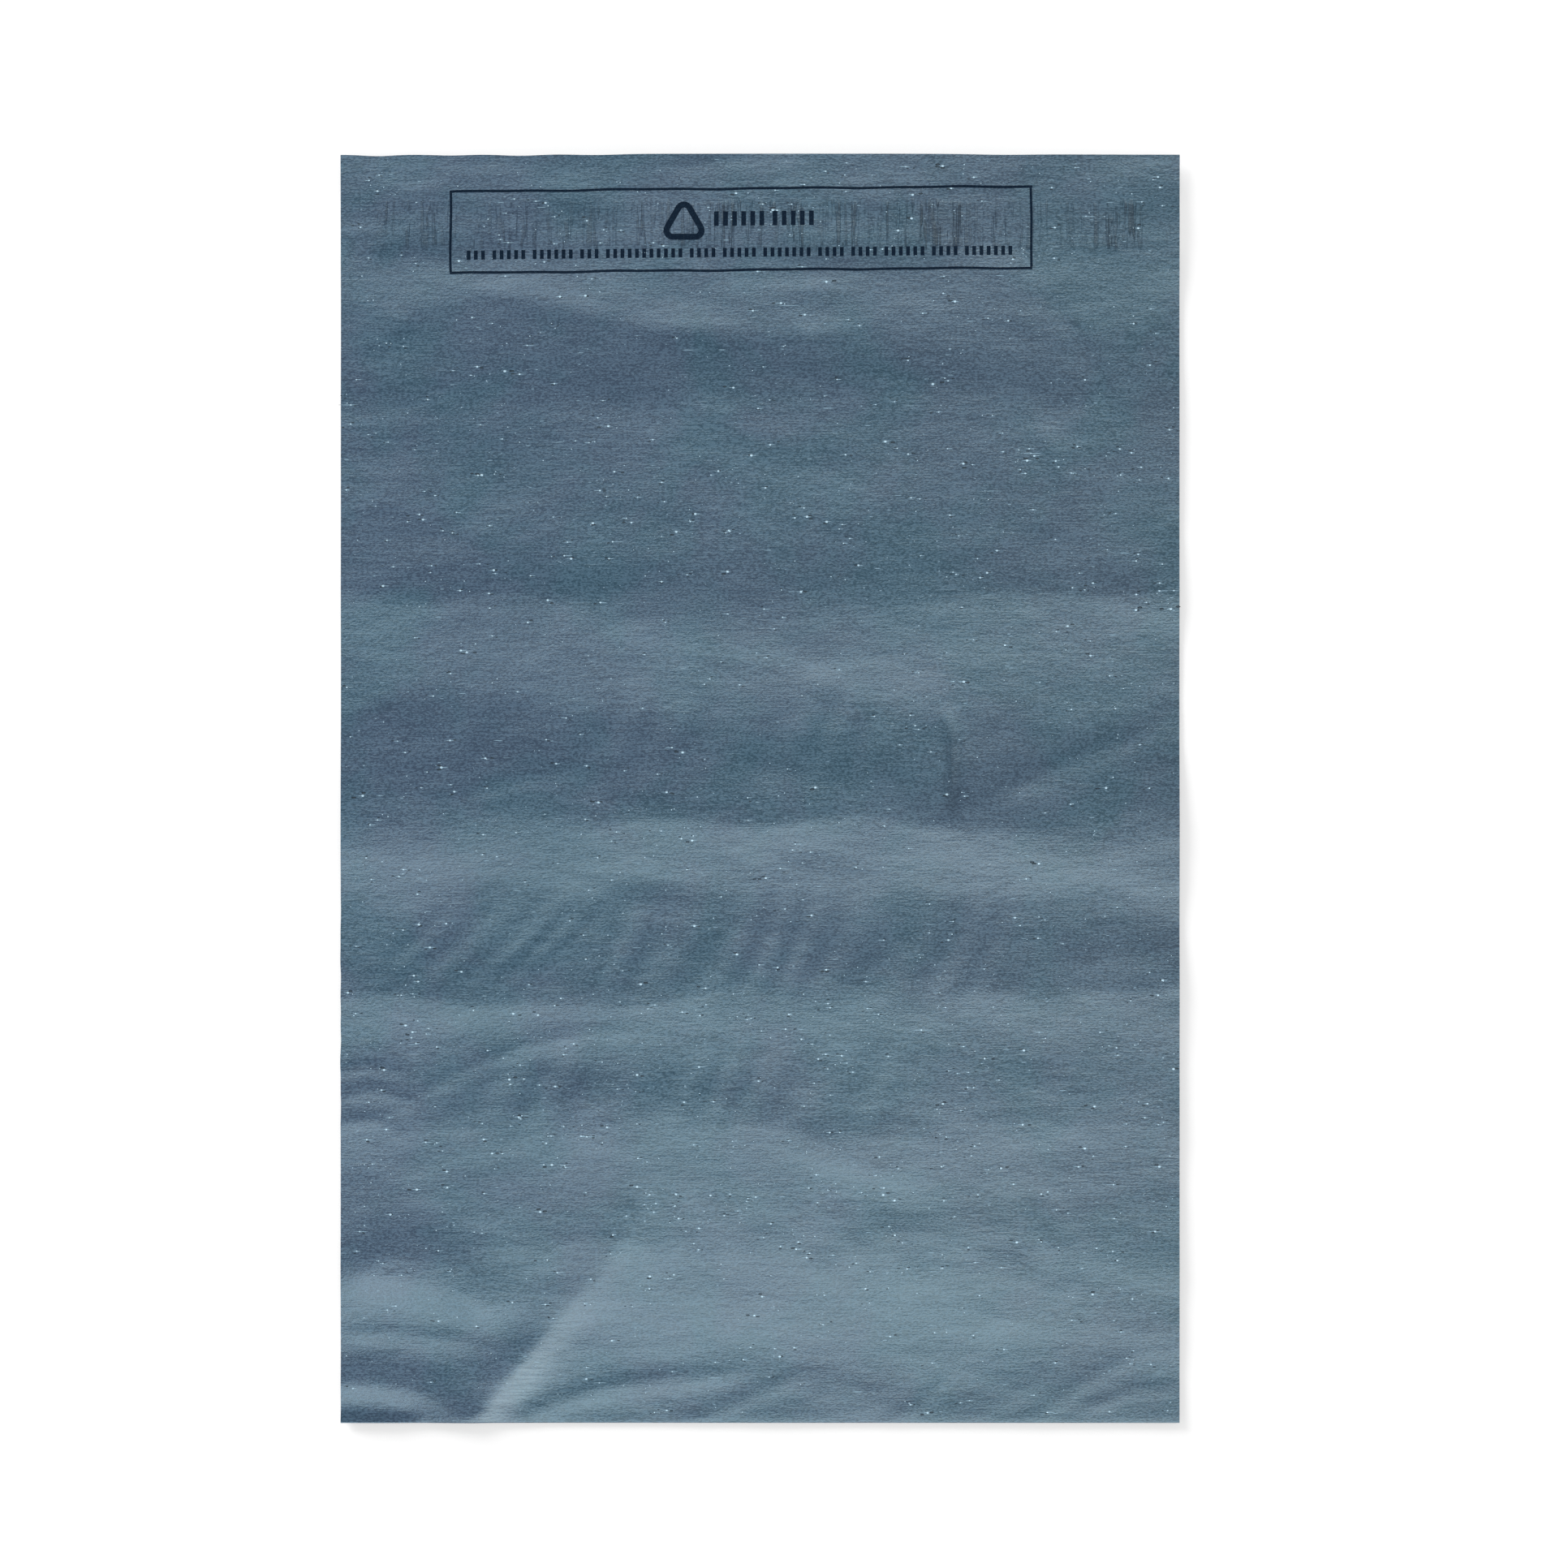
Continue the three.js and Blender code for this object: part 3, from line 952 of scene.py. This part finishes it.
def scatter(count, bunch_share=0.35, bunch_reach=5.0):
    """Places spread at random, thicker in three bands across the bag. A share of them is drawn in
    towards the place before, which makes small bunches."""
    x = rng.uniform(-GEL_SIDE, GEL_SIDE, 3 * count)
    y = rng.uniform(GEL_LOW, GEL_HIGH, 3 * count)
    chance = EVEN_CHANCE + sum(more * bump(y - middle, reach) for middle, reach, more in THICK_BANDS)
    kept = rng.uniform(0, HIGHEST_DRAW, 3 * count) < chance
    x, y = x[kept][:count], y[kept][:count]
    in_bunch = rng.uniform(0, 1, x.size) < bunch_share
    near_x = np.roll(x, 1) + rng.normal(0, bunch_reach, x.size)
    near_y = np.roll(y, 1) + rng.normal(0, 0.6 * bunch_reach, x.size)
    x = np.clip(np.where(in_bunch, near_x, x), -GEL_SIDE, GEL_SIDE)
    y = np.clip(np.where(in_bunch, near_y, y), GEL_LOW, GEL_HIGH)
    return x, y


# %% [markdown]
# Most gels are small and a few are large, which is how a lognormal draw falls.

# %% Lay the gels, the tails and the painted shade beside them
GELS, FREE_TAILS = 2500, 800
TAILED = 700  # the biggest gels have a tail and a spot of painted shade
MORE_GEL_SHADOWS = 700
GEL_SIZE, LARGEST_GEL = 0.175, 0.5  # half of a gel's length along the bag: usual and largest

gel_finish, _ = new_finish("gel", Base_Color=(0.42, 0.52, 0.60, 1), Roughness=0.25, IOR=1.5)
tail_finish, _ = new_finish("drawn_gel", Base_Color=(0.21, 0.29, 0.36, 1), Roughness=0.3, IOR=1.5)
# The next finish is painted shade: a dark spot laid flat beside a gel.
gel_shadow_finish, _ = new_finish("painted_gel_shadow", Base_Color=(0.006, 0.016, 0.028, 1), Roughness=0.6, IOR=1.5)

gel_x, gel_y = scatter(GELS)
size = np.minimum(GEL_SIZE * rng.lognormal(0, 0.5, gel_x.size), LARGEST_GEL)
domes("gel_specks", gel_x, gel_y, size * 1.35, size, size * 0.22, gel_finish)

biggest = np.argsort(-size)[:TAILED]
free_x, free_y = scatter(FREE_TAILS, 0.5, 7.0)
tail_x = np.concatenate([gel_x[biggest] + rng.normal(0, 0.5, biggest.size), free_x])
tail_y = np.concatenate([gel_y[biggest], free_y])
tail = np.concatenate([2.6 * size[biggest], np.zeros(free_x.size)])
tail = tail + rng.lognormal(-0.6, 0.7, tail_x.size)
wide = rng.uniform(0.08, 0.18, tail_x.size)
domes("gel_tails", tail_x, tail_y, tail, wide, wide * 0.18, tail_finish)

# Dark flat domes of painted shade, beside the biggest gels and beside some others.
shadow_of = np.concatenate([biggest, rng.integers(0, gel_x.size, MORE_GEL_SHADOWS)])
shadow_x = gel_x[shadow_of] + rng.normal(0, 1.6, shadow_of.size)
shadow_y = gel_y[shadow_of] + rng.normal(0, 0.6, shadow_of.size)
shadow_size = 0.95 * size[shadow_of]
domes("gel_painted_shadows", shadow_x, shadow_y, shadow_size * 2.0, shadow_size * 0.8, shadow_size * 0.05, gel_shadow_finish)

# %% [markdown]
# ## The closure
#
# The adhesive and its liner are under the flap and follow its inner face. The liner is a little
# wider than the adhesive, and it runs the full width of the bag, so that its end can be picked up.
# Flat strips would float below the rolls in one place and cut through them in another, so both are
# worked out from the height of the flap's inner face.

# %% Lay the adhesive and the liner
SKIN_GAP = 0.004  # between the film, the adhesive and the liner, so that no two faces share a place
LINER_SHORT = 0.3  # the liner stops this far inside each side of the bag


def strip_grid(x_reach, low_y, high_y, height, rows=7, columns=141):
    """A strip across the bag: its points are height(x, y) above the table."""
    x, y = np.meshgrid(np.linspace(-x_reach, x_reach, columns), np.linspace(low_y, high_y, rows))
    return np.stack([x, y, height(x, y)], -1)


def strip_piece(name, x_reach, low_y, high_y, drop, thickness, node):
    """A strip that lies under the flap: its upper face is drop below the flap's inner face."""
    upper = strip_grid(x_reach, low_y, high_y, lambda x, y: back_inner(x, y) - drop)
    lower = upper - np.array([0, 0, thickness])
    piece = sheets_piece(name, [(upper, lower)])
    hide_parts(node)
    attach(piece, ROOT)
    return piece


glue = strip_piece(
    "adhesive_line", glue_high[0], glue_low[1], glue_high[1], SKIN_GAP, GLUE, "adhesive_strip",
)
liner = strip_piece(
    "peel_off_liner", liner_high[0] - LINER_SHORT, liner_low[1], liner_high[1],
    2 * SKIN_GAP + GLUE, LINER, "release_liner",
)
print(f"adhesive {2 * glue_half:.0f} mm wide, liner {liner_high[1] - liner_low[1]:.0f} mm wide")

# %% [markdown]
# Hot melt is straw-coloured, and a thin clear coat gives it its gloss. The liner's silicone face is
# pale and a little cloudy, so it is one noise between two pale colours.

# %% Finish the adhesive and the liner
LINER_DULL = (0.70, 0.73, 0.72, 1)
LINER_BRIGHT = (0.80, 0.82, 0.80, 1)

glue_finish, _ = new_finish(
    "hot_melt", Base_Color=(0.69, 0.64, 0.46, 1), Roughness=0.25, Coat_Weight=0.3
)
glue.data.materials.append(glue_finish)
liner_finish, liner_shader = new_finish("siliconed_liner", Roughness=0.33)
liner_cloud = places(liner_finish).times(0.3, 1, 1).noise(0.5, 3, 0.6)
feed(liner_shader, Base_Color=liner_cloud.blend(LINER_DULL, LINER_BRIGHT))
liner.data.materials.append(liner_finish)

# %% [markdown]
# ## The table and the light
#
# The bag lies on a plain white table, which takes its shadow.

# %% Set the table
TABLE_SIZE = 6  # metres
TABLE_DROP = 0.0002  # the table is this many metres below the bag

bpy.ops.mesh.primitive_plane_add(size=TABLE_SIZE, location=(0, 0, -TABLE_DROP))
table = bpy.context.object
table.name = "table_top"
table_finish, _ = new_finish(
    "white_table", Base_Color=(0.86, 0.86, 0.86, 1), Roughness=0.7, Specular_IOR_Level=0.2
)
table.data.materials.append(table_finish)

# %% [markdown]
# A round white wall stands far behind the table on all sides, for an eye that looks from low down.
# A white world would do that too, but it would wash out the sheen. Only the eye sees the wall: it
# gives no light and casts no shadow.

# %% Stand a white wall round it
WALL_REACH = 9000  # millimetres from the bag, like the next two
WALL_LOW, WALL_HIGH = -4000, 7000
WALL_SIDES = 48


def wall_grid():
    """A round wall: two rings of points, at its foot and at its top."""
    turn = np.linspace(0, 2 * math.pi, WALL_SIDES + 1)
    z, angle = np.meshgrid([WALL_LOW, WALL_HIGH], turn, indexing="ij")
    return np.stack([WALL_REACH * np.sin(angle), WALL_REACH * np.cos(angle), z], -1)


wall_points = wall_grid()
wall = make_piece(
    "backdrop", wall_points.reshape(-1, 3), grid_faces(*wall_points.shape[:2]).tolist()
)
wall_finish, _ = new_finish(
    "white_backdrop", Base_Color=(0, 0, 0, 1), Emission_Color=(1, 1, 1, 1), Emission_Strength=1.0
)
wall_finish.cycles.emission_sampling = "NONE"
wall.data.materials.append(wall_finish)
for ray in ("diffuse", "glossy", "transmission", "volume_scatter", "shadow"):
    setattr(wall, f"visible_{ray}", False)
print(f"a wall of {WALL_SIDES} sides, {WALL_REACH * MM:.0f} m from the bag")

# %% [markdown]
# Satin film shows its shape in its sheen. One small lamp would make a hard hot spot, so the light
# is a big soft box, high up and beyond the bottom of the view. Its near edge is just past the place
# that level film mirrors. A slope that faces the box catches its sheen, and a slope that faces away
# goes dark. A smaller box at its right-hand end doubles the light there and picks out the folds
# that run along the bag. Both light the bag only.
#
# The table has two soft suns of its own. One is straight above. The other is low, at the upper
# left, and gives the soft shadow along the right and bottom edges. A weak white world lights the
# bag and the table from all sides.

# %% Make lamps
LAMP_HEIGHT = 5.2  # metres above the table, for both boxes


def add_lamp(data, place, aim, lit):
    """A lamp at a place that shines towards aim and lights only the objects in lit."""
    lamp = bpy.data.objects.new(data.name, data)
    lamp.location = place
    lamp.rotation_euler = Vector(np.subtract(aim, place)).to_track_quat("-Z", "Y").to_euler()
    bpy.context.scene.collection.objects.link(lamp)
    group = bpy.data.collections.new(f"lit_by_{data.name}")
    for piece in lit:
        group.objects.link(piece)
    lamp.light_linking.receiver_collection = group


def soft_box(name, x, y, width, depth, watts, lit, colour=(1, 1, 1)):
    """A flat lamp of this width and depth, LAMP_HEIGHT above (x, y), that faces down."""
    data = bpy.data.lights.new(name, "AREA")
    data.shape = "RECTANGLE"
    data.size, data.size_y = width, depth
    data.energy, data.color = watts, colour
    add_lamp(data, (x, y, LAMP_HEIGHT), (x, y, 0), lit)


def soft_sun(name, place, strength, spread, lit):
    """A sun that shines from place towards the bag. Spread is its angle across, in degrees."""
    data = bpy.data.lights.new(name, "SUN")
    data.energy, data.angle = strength, math.radians(spread)
    add_lamp(data, place, (0, 0, 0), lit)


# %% Light the bag and the table
KEY_EDGE = -0.75  # the key box's near edge, just past the place that level film mirrors
KEY_LEFT = -2.0
KEY_WIDTH, KEY_DEPTH = 4.4, 5.2
KEY_COLOUR = (0.73, 0.938, 1.0)
FOLD_BOX = 1.6
WORLD_STRENGTH = 0.40

bag_pieces = [
    o for o in bpy.context.scene.objects if o.type == "MESH" and o not in (table, wall)
]
soft_box(
    "key_box", x=KEY_LEFT + KEY_WIDTH / 2, y=KEY_EDGE - KEY_DEPTH / 2, width=KEY_WIDTH,
    depth=KEY_DEPTH, watts=465, lit=bag_pieces, colour=KEY_COLOUR,
)
soft_box("fold_box", x=1.9, y=-2.3, width=FOLD_BOX, depth=FOLD_BOX, watts=50, lit=bag_pieces)
soft_sun("table_fill", place=(0, 0, 3), strength=1.85, spread=14, lit=[table])
soft_sun("shadow_lamp", place=(-1.7, 1.7, 0.80), strength=2.6, spread=34, lit=[table])
print(f"two boxes on {len(bag_pieces)} pieces, two suns on the table")

world = bpy.data.worlds.new("studio")
world.use_nodes = True
sky = world.node_tree.nodes["Background"]
sky.inputs["Color"].default_value = (1, 1, 1, 1)
sky.inputs["Strength"].default_value = WORLD_STRENGTH
bpy.context.scene.world = world
bpy.context.scene.view_settings.view_transform = "Standard"
